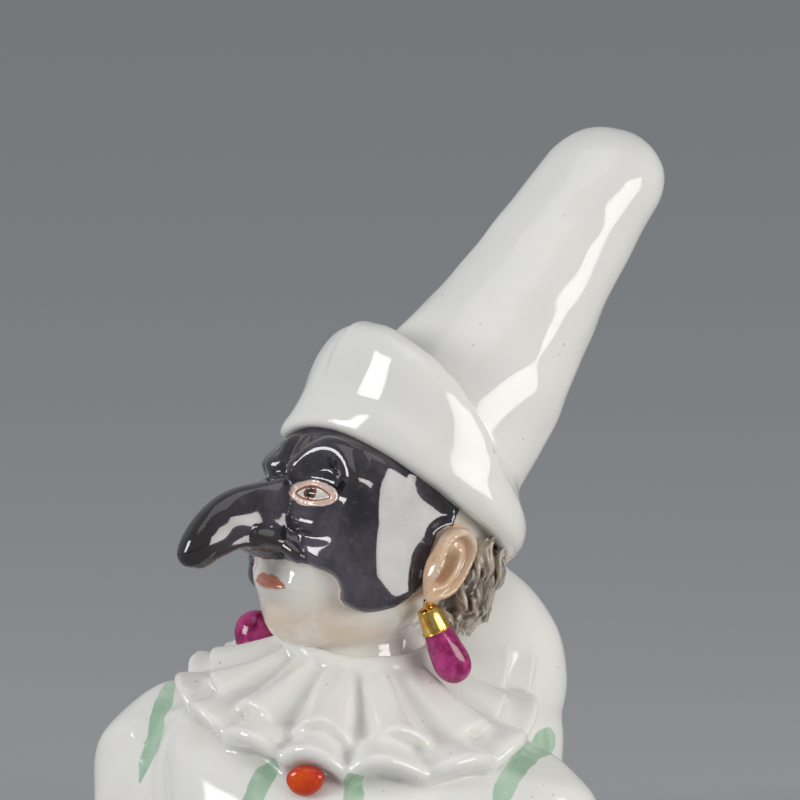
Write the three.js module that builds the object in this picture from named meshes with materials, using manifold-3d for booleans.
// A glazed porcelain bust of a masked stage clown: sugarloaf hat with a turned-up brim, dark half
// mask with a hooked beak, side curls, drop earrings, two-tier ruff, humped back and buttoned tunic.
// Millimetres, +Z up. The chest faces -Y and the figure's left arm is at +X. The origin is on the
// flat underside, under the neck. The bust is one casting, so it is one solid.

import * as THREE from 'three';
import { ParametricGeometry } from 'three/addons/geometries/ParametricGeometry.js';
import { mergeVertices } from 'three/addons/utils/BufferGeometryUtils.js';
import Module from 'manifold-3d';

const wasm = await Module();
wasm.setup();

// Driving dimensions of the head and what it wears
const headHeight = 23; // chin to crown
const headYaw = -45; // degrees, turned to the figure's right
const headPitch = 16; // degrees, chin lifted
const headLean = [2.0, 1.4]; // how far the head's middle stands left of and behind the neck
const beakReach = 15.5; // from the head's middle to the tip of the beak
const beakDrop = 7.5; // from the head's middle down to the tip
const earHeight = 6.4;
const brimTilt = -20; // degrees, the brim pushed back on the head
const brimWall = 2.2; // the folded brim at its lower edge
const brimLip = 1.1; // the brim at its upper edge
const brimFront = 8.3; // height of the brim over the forehead
const brimBack = 3.7; // height of the brim at the nape
const brimSwell = 1.8; // how far the front of the brim bulges forward
const brimLeanIn = 1.1; // how far its upper edge leans in at the nape
const brimSink = 0.7; // lower edge below the hat band
const brimPeak = 1.3; // how much further the lower edge dips over the forehead
const hatTilt = -14; // degrees, the crown of the hat pushed back
const hatLength = 28.3; // hat band to the middle of the round tip
const hatTipRadius = 4.75;
const hatRootRadius = 7.6;
const curlThickness = 1.5; // the roll of side curls, outwards
const curlHeight = 3.7; // the same, half its height
const dropLength = 6.6; // each earring, with its cap
const leftDropRadius = 1.5;
const rightDropRadius = 1.7;
const hookRadius = 0.45;

// Driving dimensions of the neck, ruff and body
const neckRadius = 5.0;
const neckLength = 13.7; // ruff middle to the head's middle
const ruffLevel = 13.6; // underside to the middle of the lower tier
const ruffUpperRadius = 11.6;
const ruffLowerRadius = 13.9;
const ruffStep = 1.2; // upper tier over lower tier
const ruffRise = 3.4; // how far the ruff climbs to the neck
const ruffUpperFolds = 13;
const ruffLowerFolds = 15;
const ruffUpperDepth = 0.75; // half the height of the upper tier's folds
const ruffLowerDepth = 0.45;
const ruffEdge = 0.65; // thickness of the frill at its rim
const ruffRoot = 3; // thickness of each tier at the neck
const ruffShift = 0.8; // ruff's middle left of the neck axis
const ruffSqueeze = 0.2; // share of its radius that the hump takes from the ruff
const chestHalfWidth = 14.2;
const chestDepth = 12.5; // neck axis to the front of the chest
const backDepth = 10; // neck axis to the back of the chest
const shoulderDrop = 3.8; // top of the shoulders to where the chest is full
const humpHalfWidth = 13.6;
const humpHalfDepth = 8.6;
const humpHalfHeight = 10.4;
const humpSetBack = 10.6; // neck axis to the middle of the hump
const sleeveRadius = 7.4;
const sleeveSpread = 12.2; // neck axis to the middle of each sleeve
const sleeveShift = -0.6; // both sleeves, towards the figure's right
const sleeveLevel = 4.6; // underside to the middle of the sleeves
const gatherDepth = 0.35; // half the height of the gathers on the sleeves
const buttonRadius = 1.4;
const buttonLevel = 8.8; // underside to the middle of the button

const radians = THREE.MathUtils.degToRad;
const lerp = THREE.MathUtils.lerp;
const clamp = THREE.MathUtils.clamp;
const point = (x, y, z) => new THREE.Vector3(x, y, z);

// A smooth curve through [place, value] stops, read at one place.
function through(stops, place) {
  const last = stops.length - 1;
  if (place <= stops[0][0]) return stops[0][1];
  if (place >= stops[last][0]) return stops[last][1];
  let i = 0;
  while (stops[i + 1][0] < place) i += 1;
  const slope = (k) => {
    const before = stops[Math.max(k - 1, 0)];
    const after = stops[Math.min(k + 1, last)];
    return (after[1] - before[1]) / (after[0] - before[0]);
  };
  const span = stops[i + 1][0] - stops[i][0];
  const t = (place - stops[i][0]) / span;
  const t2 = t * t;
  const t3 = t2 * t;
  return (2 * t3 - 3 * t2 + 1) * stops[i][1] + (t3 - 2 * t2 + t) * span * slope(i)
    + (3 * t2 - 2 * t3) * stops[i + 1][1] + (t3 - t2) * span * slope(i + 1);
}

// A power that keeps the sign, for squarer or rounder sections.
const bend = (value, power) => Math.sign(value) * Math.abs(value) ** power;

// A frame with its own place, turned about X and then about Z, inside another frame.
function frameIn(parent, place, aboutX, aboutZ) {
  const turn = new THREE.Matrix4().makeRotationZ(radians(aboutZ));
  turn.multiply(new THREE.Matrix4().makeRotationX(radians(aboutX)));
  return parent.clone().multiply(new THREE.Matrix4().setPosition(place)).multiply(turn);
}

// A frame whose +Z runs from one point towards another.
function frameAlong(from, to) {
  const turn = new THREE.Quaternion().setFromUnitVectors(point(0, 0, 1), to.clone().sub(from).normalize());
  return new THREE.Matrix4().makeRotationFromQuaternion(turn).setPosition(from);
}

// A closed surface as a manifold solid, its shared vertices merged and its faces pointing out.
function solidFrom(geometry) {
  const bare = geometry.clone();
  bare.deleteAttribute('normal');
  bare.deleteAttribute('uv');
  const merged = mergeVertices(bare);
  const vertices = merged.getAttribute('position').array;
  const corners = merged.index.array;
  const corner = (i) => point(...vertices.subarray(3 * i, 3 * i + 3));
  const faces = [];
  let volume = 0;
  for (let i = 0; i < corners.length; i += 3) {
    const [a, b, c] = corners.subarray(i, i + 3);
    if (a === b || b === c || c === a) continue;
    faces.push(a, b, c);
    volume += corner(a).dot(corner(b).cross(corner(c)));
  }
  if (volume < 0) faces.reverse();
  return new wasm.Manifold(new wasm.Mesh({
    numProp: 3,
    vertProperties: Float32Array.from(vertices),
    triVerts: Uint32Array.from(faces),
  }));
}

// A closed form: placeAt(turn, along) goes once round for turn 0 to 1, between two poles.
// With a ring, along closes on itself too.
function form(frame, placeAt, around, steps, ring = false) {
  const closed = (share) => (share === 1 ? 0 : share);
  const geometry = new ParametricGeometry((u, v, target) => {
    target.copy(placeAt(2 * Math.PI * closed(u), ring ? 2 * Math.PI * closed(v) : v));
  }, around, steps);
  return solidFrom(geometry.applyMatrix4(frame));
}

const world = new THREE.Matrix4();
const headMiddle = point(headLean[0], headLean[1], ruffLevel + neckLength);
const headFrame = frameIn(world, headMiddle, -headPitch, headYaw);
const brimFrame = frameIn(headFrame, point(0, 0.07 * headHeight, 0.102 * headHeight), brimTilt, 0);
const hatFrame = frameIn(headFrame, point(0, 0.08 * headHeight, 0.077 * headHeight), hatTilt, 0);

// The ruff and shoulders slope: high at the back and at the figure's right, low in front. The hump
// pushes the ruff up behind the figure's left shoulder.
const slopeBack = 0.19;
const slopeRight = 0.16;
const sweepBack = 0.045;

function slopedLevel(x, y) {
  const sweep = sweepBack * Math.max(0, y) ** 2 * THREE.MathUtils.smoothstep(x, -4, 6);
  return ruffLevel + slopeBack * y - slopeRight * x + sweep;
}

// Head: rings from chin to crown, as shares of the head's height. The rings tip forward at the jaw.
const headRings = {
  front: [[0, 0], [0.05, 0.18], [0.12, 0.27], [0.25, 0.34], [0.5, 0.385], [0.65, 0.38], [0.8, 0.31],
    [0.93, 0.18], [1, 0]],
  back: [[0, 0], [0.05, 0.06], [0.12, 0.12], [0.25, 0.22], [0.5, 0.375], [0.65, 0.405], [0.8, 0.37],
    [0.93, 0.22], [1, 0]],
  side: [[0, 0], [0.05, 0.12], [0.12, 0.195], [0.25, 0.27], [0.5, 0.33], [0.65, 0.34], [0.8, 0.3],
    [0.93, 0.18], [1, 0]],
  frontLevel: [[0, -0.5], [0.05, -0.492], [0.12, -0.46], [0.25, -0.35], [0.5, -0.1], [0.65, 0.08],
    [0.8, 0.27], [0.93, 0.45], [1, 0.5]],
  backLevel: [[0, -0.38], [0.05, -0.375], [0.12, -0.36], [0.25, -0.27], [0.5, -0.06], [0.65, 0.1],
    [0.8, 0.28], [0.93, 0.45], [1, 0.5]],
};

// Relief on the front of the head as [across, level, width, height, depth]; across is mirrored.
const headRelief = [
  [0.14, 0.11, 0.1, 0.045, 0.03], // brow ridge of the mask
  [0.14, 0.0, 0.075, 0.045, -0.035], // eye socket
  [0.0, 0.04, 0.06, 0.07, 0.012], // bridge of the mask
  [0.2, -0.16, 0.09, 0.08, 0.03], // cheek of the mask
  [0.0, -0.325, 0.08, 0.035, 0.018], // lips
  [0.0, -0.44, 0.07, 0.05, 0.018], // chin
];

function headAt(turn, along) {
  const read = (name) => headHeight * through(headRings[name], along);
  const ahead = Math.cos(turn);
  const x = read('side') * bend(Math.sin(turn), 0.95);
  let y = ahead > 0 ? -read('front') * bend(ahead, 0.9) : -read('back') * ahead;
  const z = lerp(read('backLevel'), read('frontLevel'), (1 + ahead) / 2);
  if (ahead > 0) {
    headRelief.forEach(([across, level, width, height, depth]) => {
      const dx = (Math.abs(x) / headHeight - across) / width;
      const dz = (z / headHeight - level) / height;
      y -= depth * headHeight * Math.min(1, 2 * ahead) * Math.exp(-(dx * dx + dz * dz));
    });
  }
  return point(x, y, z);
}

// Beak: an oval section along a hooked line in the head's middle plane.
function beakParts() {
  const h = headHeight;
  const face = point(0, -0.4 * h, -0.1 * h);
  const tip = point(0, -beakReach, -beakDrop);
  const hook = (ahead, down) => point(0, lerp(face.y, tip.y, ahead), lerp(face.z, tip.z, down));
  const line = new THREE.CatmullRomCurve3([
    point(0, -0.26 * h, -0.08 * h), hook(0.12, 0.04), hook(0.51, 0.18), hook(0.79, 0.5), hook(0.94, 0.84), tip,
  ]);
  const halfDepth = [[0, 0], [0.08, 0.14], [0.2, 0.118], [0.4, 0.08], [0.6, 0.056], [0.8, 0.04],
    [0.95, 0.022], [1, 0]];
  const halfWidth = [[0, 0], [0.08, 0.13], [0.2, 0.11], [0.4, 0.07], [0.6, 0.05], [0.8, 0.034],
    [0.95, 0.02], [1, 0]];
  return form(headFrame, (turn, along) => {
    const centre = line.getPoint(along);
    const ahead = line.getTangent(along);
    const up = point(0, ahead.z, -ahead.y);
    return centre.addScaledVector(up, h * through(halfDepth, along) * Math.cos(turn))
      .add(point(h * through(halfWidth, along) * Math.sin(turn), 0, 0));
  }, 12, 14);
}

// Ear: a dished oval, narrower at the lobe. side is 1 for the figure's left ear and -1 for its right.
const earMiddle = (side) => point(side * 0.345 * headHeight, 0.12 * headHeight, -0.1 * headHeight);

function earParts(side) {
  const spread = [[0, 0], [0.2, 0.45], [0.32, 0.72], [0.43, 0.9], [0.55, 1], [0.75, 0.72], [1, 0]];
  const stand = [[0, 0.06], [0.2, 0.1], [0.32, 0.42], [0.43, 0.52], [0.55, 0.36], [0.75, -0.1], [1, -0.6]];
  const frame = frameIn(headFrame, earMiddle(side), -10, side * 20);
  return form(frame, (turn, along) => {
    const up = Math.cos(turn);
    const width = earHeight * lerp(0.2, 0.33, (1 + up) / 2);
    const open = through(spread, along);
    return point(
      side * earHeight * 0.3 * through(stand, along),
      width * open * Math.sin(turn),
      earHeight / 2 * open * up,
    );
  }, 14, 9);
}

// Side curls: one thick roll round the nape, from behind one ear to behind the other, cut into locks.
function curlParts() {
  const locks = 18;
  const h = headHeight;
  const from = radians(117);
  const to = radians(243);
  return form(headFrame, (turn, along) => {
    const bearing = lerp(from, to, along);
    const end = Math.max(0, 1 - Math.abs(2 * along - 1) ** 8) ** 0.4;
    const lock = 1 - 0.3 * Math.abs(Math.cos(Math.PI * locks * along)) ** 3;
    const out = curlThickness * end * lock * Math.cos(turn);
    const level = -0.145 * h + curlHeight * end * (0.92 + 0.08 * lock) * Math.sin(turn);
    return point(
      (0.325 * h + out) * Math.sin(bearing),
      -(0.395 * h + out) * Math.cos(bearing),
      level,
    );
  }, 8, 48);
}

// Neck: from inside the ruff into the jaw.
function neckParts() {
  const foot = point(0.2, 0.3, ruffLevel - 4);
  const head = point(0.5 * headLean[0], 0.6 * headLean[1], headMiddle.z - 0.14 * headHeight);
  const girth = [[0, 0], [0.02, 1.1], [0.4, 1.08], [0.6, 1], [0.8, 1.08], [0.98, 1.15], [1, 0]];
  return form(world, (turn, along) => {
    const radius = neckRadius * through(girth, along);
    return foot.clone().lerp(head, clamp((along - 0.02) / 0.96, 0, 1))
      .add(point(radius * Math.cos(turn), radius * Math.sin(turn), 0));
  }, 14, 6);
}

// Hat brim: a folded band standing up round the head, tall and swelling in front, low behind.
const brimRise = [[0, 1], [25, 1], [53, 0.76], [77, 0.45], [104, 0.1], [130, 0], [180, 0]];
const brimSwelling = [[0, 0], [0.2, -0.1], [0.4, 0.15], [0.7, 0.9], [0.85, 1], [1, 0.45]];

const brimHeightAt = (bearing) => {
  const away = Math.abs(THREE.MathUtils.radToDeg(Math.atan2(Math.sin(bearing), Math.cos(bearing))));
  return lerp(brimBack, brimFront, through(brimRise, away));
};

// The outside of the hat band at one bearing, before its wall is added.
function bandAt(bearing, out) {
  const ahead = Math.cos(bearing);
  const length = (ahead > 0 ? 0.35 : 0.33) * headHeight;
  return point((0.34 * headHeight + out) * Math.sin(bearing), -(length + out) * ahead, 0);
}

function brimAt(bearing, section) {
  const ahead = Math.max(0, Math.cos(bearing));
  const share = (1 - Math.cos(section)) / 2;
  const wall = lerp(brimWall, brimLip, share) / 2;
  const swell = brimSwell * (0.25 + 0.75 * ahead ** 1.5) * through(brimSwelling, share);
  const inward = brimLeanIn * Math.max(0, -Math.cos(bearing)) * share;
  const out = brimWall - wall + swell - inward + wall * bend(Math.sin(section), 0.7);
  const dip = brimSink + brimPeak * ahead ** 6 * (1 - share);
  return bandAt(bearing, out).setZ(brimHeightAt(bearing) * share - dip);
}

// Floor of the gutter between the brim and the crown of the hat.
function gutterAt(bearing, along) {
  const spread = [[0, 0], [0.1, 0.97], [0.6, 1], [0.85, 0.7], [1, 0]];
  const level = [[0, -0.5], [0.1, -0.5], [0.6, 0.7 * brimHeightAt(bearing)], [1, 0.7 * brimFront]];
  return bandAt(bearing, 0.5 * brimWall).multiplyScalar(through(spread, along)).setZ(through(level, along));
}

// Hat crown: a tall cone with a flared root, leaning back, and a round tip.
function crownAt(turn, along) {
  const flare = [[-0.05, 1], [0.1, 1], [0.2, 0.98], [0.36, 0.92], [0.56, 0.74], [0.7, 0.67],
    [1, hatTipRadius / hatRootRadius]];
  const body = 0.78;
  const dome = Math.max(0, (along - body) / (1 - body)) * Math.PI / 2;
  const share = lerp(-0.05, 1, Math.min(1, along / body));
  const foot = Math.min(1, along / 0.02);
  const radius = along > body
    ? hatTipRadius * Math.cos(dome)
    : foot * hatRootRadius * through(flare, share);
  const tipRise = hatTipRadius * Math.sin(dome);
  const back = 0.108 * hatLength * share ** 2;
  return point(
    radius * Math.sin(turn),
    back - radius * Math.cos(turn) + 0.2 * tipRise,
    hatLength * share + tipRise,
  );
}

// Earring: a drop that leans from its tip on the ruff, on a hook from the ear.
function earringParts(ear, tip, lean, girth) {
  const top = tip.clone().addScaledVector(lean.normalize(), dropLength);
  const outline = [[0, 0], [0.03, 0.42], [0.1, 0.62], [0.25, 0.84], [0.42, 0.97], [0.75, 1], [0.9, 0.78],
    [0.97, 0.42], [1, 0]];
  const drop = form(frameAlong(top, tip), (turn, along) => {
    const radius = girth * through(outline, along);
    return point(radius * Math.cos(turn), radius * Math.sin(turn), dropLength * along);
  }, 12, 10);
  const sunk = 2 * hookRadius;
  const hookLength = ear.distanceTo(top) + sunk;
  const hook = form(frameAlong(ear, top), (turn, along) => {
    const radius = hookRadius * Math.min(1, along / 0.1, (1 - along) / 0.1);
    return point(radius * Math.cos(turn), radius * Math.sin(turn), hookLength * along);
  }, 6, 4);
  return drop.add(hook);
}

// The left drop leans forward on the ruff, and the right one lies back between the ruff and the hump.
function earringPair() {
  const piercing = (side) => earMiddle(side).add(point(0, 0, -0.25 * earHeight)).applyMatrix4(headFrame);
  const restingAt = (x, y, above) => point(x, y, slopedLevel(x, y) + ruffStep + above);
  return [
    earringParts(piercing(1), restingAt(8.9, -2.8, 2.4), point(-0.17, -0.3, 0.94), leftDropRadius),
    earringParts(piercing(-1), restingAt(-7.4, -0.6, 1.6), point(-0.12, 0.95, 0.14), rightDropRadius),
  ];
}

// One tier of the ruff: a frilled collar, solid to the middle. lift raises its rim off the slope.
// Behind the figure's right shoulder the hump squeezes it narrower.
function ruffTier(radius, folds, depth, rise, lift, phase) {
  const reach = [[0, 0], [0.125, 0.38], [0.25, 0.6], [0.375, 0.83], [0.5, 0.98], [0.625, 1], [0.75, 0.82],
    [1, 0]];
  return form(world, (turn, along) => {
    const warped = turn + 0.07 * Math.sin(3 * turn + phase) + 0.05 * Math.sin(5 * turn + 2 * phase);
    const wave = Math.cos(folds * warped + phase);
    const share = through(reach, along);
    const open = clamp((share - 0.4) / 0.6, 0, 1);
    const squeeze = 1 - ruffSqueeze * Math.exp(-(((turn - radians(232)) / radians(38)) ** 2));
    const out = radius * squeeze * share * (1 + 0.03 * open * wave);
    const x = ruffShift + out * Math.sin(turn);
    const y = -out * Math.cos(turn);
    const fold = depth * open * wave;
    const top = lift + rise * (1 - open) ** 1.3 + fold;
    const under = lerp(lift - ruffRoot, lift - ruffEdge, open) + fold;
    return point(x, y, slopedLevel(x, y) + lerp(top, under, THREE.MathUtils.smoothstep(along, 0.5, 0.7)));
  }, folds * 5, 8);
}

// How far a level ray from the neck axis runs inside a round form. Zero where it misses.
function rayReach(dirX, dirY, x, y, halfWidth, halfDepth) {
  const [ux, uy, cx, cy] = [dirX / halfWidth, dirY / halfDepth, x / halfWidth, y / halfDepth];
  const a = ux * ux + uy * uy;
  const b = ux * cx + uy * cy;
  const inside = b * b - a * (cx * cx + cy * cy - 1);
  return inside > 0 ? Math.max(0, (b + Math.sqrt(inside)) / a) : 0;
}

// Gathers of the sleeves, fanning down from where each is set into the shoulder.
function gatherAt(bearing, level) {
  const folds = 6;
  const across = radians(62);
  const top = sleeveLevel + 0.85 * sleeveRadius;
  const turned = bearing > Math.PI ? 2 * Math.PI - bearing : bearing;
  const side = (turned - across) * 1.2 * sleeveSpread;
  const drop = top - level;
  const far = Math.hypot(side, drop);
  const depth = gatherDepth * Math.exp(-(((turned - radians(85)) / radians(38)) ** 4)) * clamp(far / 4, 0, 1);
  return depth * Math.cos(folds * Math.atan2(side, drop + 1.5));
}

// Body: one skin over the chest, both sleeves and the foot of the hump, with soft hollows between.
const bodyTop = ruffLevel - 0.25;
const humpMiddle = point(0.4, humpSetBack, ruffLevel + 0.4);

function bodyAt(bearing, level) {
  const [dirX, dirY] = [Math.sin(bearing), -Math.cos(bearing)];
  const round = Math.max(0, (level - bodyTop + shoulderDrop) / shoulderDrop);
  const full = Math.max(0, 1 - round ** 4) ** 0.25;
  const depth = dirY < 0 ? chestDepth : backDepth;
  const square = 2.4;
  const across = (Math.abs(dirX) / chestHalfWidth) ** square + (Math.abs(dirY) / depth) ** square;
  const chest = full / across ** (1 / square);
  const upArm = clamp((level - sleeveLevel) / sleeveRadius, -0.35, 1);
  const girth = sleeveRadius * Math.sqrt(1 - upArm ** 2);
  const sleeves = [-1, 1].map((side) => {
    const middle = side * sleeveSpread + sleeveShift;
    return rayReach(dirX, dirY, middle, 0.3, girth, 0.97 * girth);
  });
  const humpFull = through([[0, 0.88], [0.4, 0.955], [0.75, 0.975], [1, 0.965]], level / bodyTop);
  const humpWidth = humpHalfWidth * humpFull;
  const humpDepth = humpHalfDepth * humpFull;
  const hump = rayReach(dirX, dirY, humpMiddle.x, humpMiddle.y, humpWidth, humpDepth);
  const soft = 9;
  const reach = [chest, ...sleeves, hump].reduce((sum, r) => sum + r ** soft, 0) ** (1 / soft);
  const out = reach + gatherAt(bearing, level) * full;
  const tilt = clamp((level + 1) / bodyTop, 0, 1) ** 2;
  const [x, y] = [out * dirX, out * dirY];
  return point(x, y, level + tilt * (slopeBack * Math.min(y, 4) - slopeRight * x));
}

function bodyParts() {
  return form(world, (turn, along) => {
    const close = Math.min(1, along / 0.04);
    const level = lerp(-3, bodyTop, clamp((along - 0.04) / 0.96, 0, 1));
    const place = bodyAt(turn, level);
    return along === 1 ? point(0, 0, bodyTop) : point(close * place.x, close * place.y, place.z);
  }, 54, 14);
}

// Hump: the bowed upper back.
function humpParts() {
  return form(world, (turn, along) => {
    const level = -Math.cos(Math.PI * along);
    const ring = bend(Math.sin(Math.PI * along), 0.85);
    return point(
      humpMiddle.x + humpHalfWidth * ring * Math.cos(turn),
      humpMiddle.y + humpHalfDepth * ring * Math.sin(turn),
      humpMiddle.z + humpHalfHeight * level,
    );
  }, 30, 12);
}

// Button: a low dome on the front of the chest.
function buttonParts() {
  const seat = bodyAt(0, buttonLevel);
  const lean = 12;
  const frame = frameIn(world, point(seat.x, seat.y + 0.1, buttonLevel), 90 + lean, 0);
  return form(frame, (turn, along) => {
    const polar = Math.PI * along;
    return point(
      buttonRadius * Math.sin(polar) * Math.cos(turn),
      buttonRadius * 0.85 * Math.sin(polar) * Math.sin(turn),
      -0.8 * Math.cos(polar),
    );
  }, 14, 7);
}

// The casting: every form joined, and cut flat at the underside.
function castBust() {
  const parts = [
    bodyParts(),
    humpParts(),
    ruffTier(ruffLowerRadius, ruffLowerFolds, ruffLowerDepth, 0.4 * ruffRise, 0, 0.6),
    ruffTier(ruffUpperRadius, ruffUpperFolds, ruffUpperDepth, ruffRise, ruffStep, 0),
    neckParts(),
    form(headFrame, headAt, 38, 21),
    beakParts(),
    earParts(1),
    earParts(-1),
    curlParts(),
    form(brimFrame, brimAt, 40, 12, true),
    form(brimFrame, gutterAt, 24, 7),
    form(hatFrame, crownAt, 28, 16),
    ...earringPair(),
    buttonParts(),
  ];
  const whole = parts.reduce((joined, next) => joined.add(next));
  const depth = 40;
  const below = new THREE.BoxGeometry(200, 200, depth).translate(0, 0, -depth / 2);
  return whole.subtract(solidFrom(below));
}

// The joined solid as a three.js geometry.
function geometryOf(solid) {
  const { vertProperties, triVerts } = solid.getMesh();
  const geometry = new THREE.BufferGeometry();
  geometry.setAttribute('position', new THREE.BufferAttribute(vertProperties, 3));
  geometry.setIndex(new THREE.BufferAttribute(triVerts, 1));
  geometry.computeVertexNormals();
  return geometry;
}

const porcelain = new THREE.MeshStandardMaterial({ color: 0xdedcd6, roughness: 0.12, metalness: 0 });
const bust = new THREE.Mesh(geometryOf(castBust()), porcelain);
bust.name = 'masked_clown_bust';

const figure = new THREE.Group();
figure.add(bust);

export default figure;
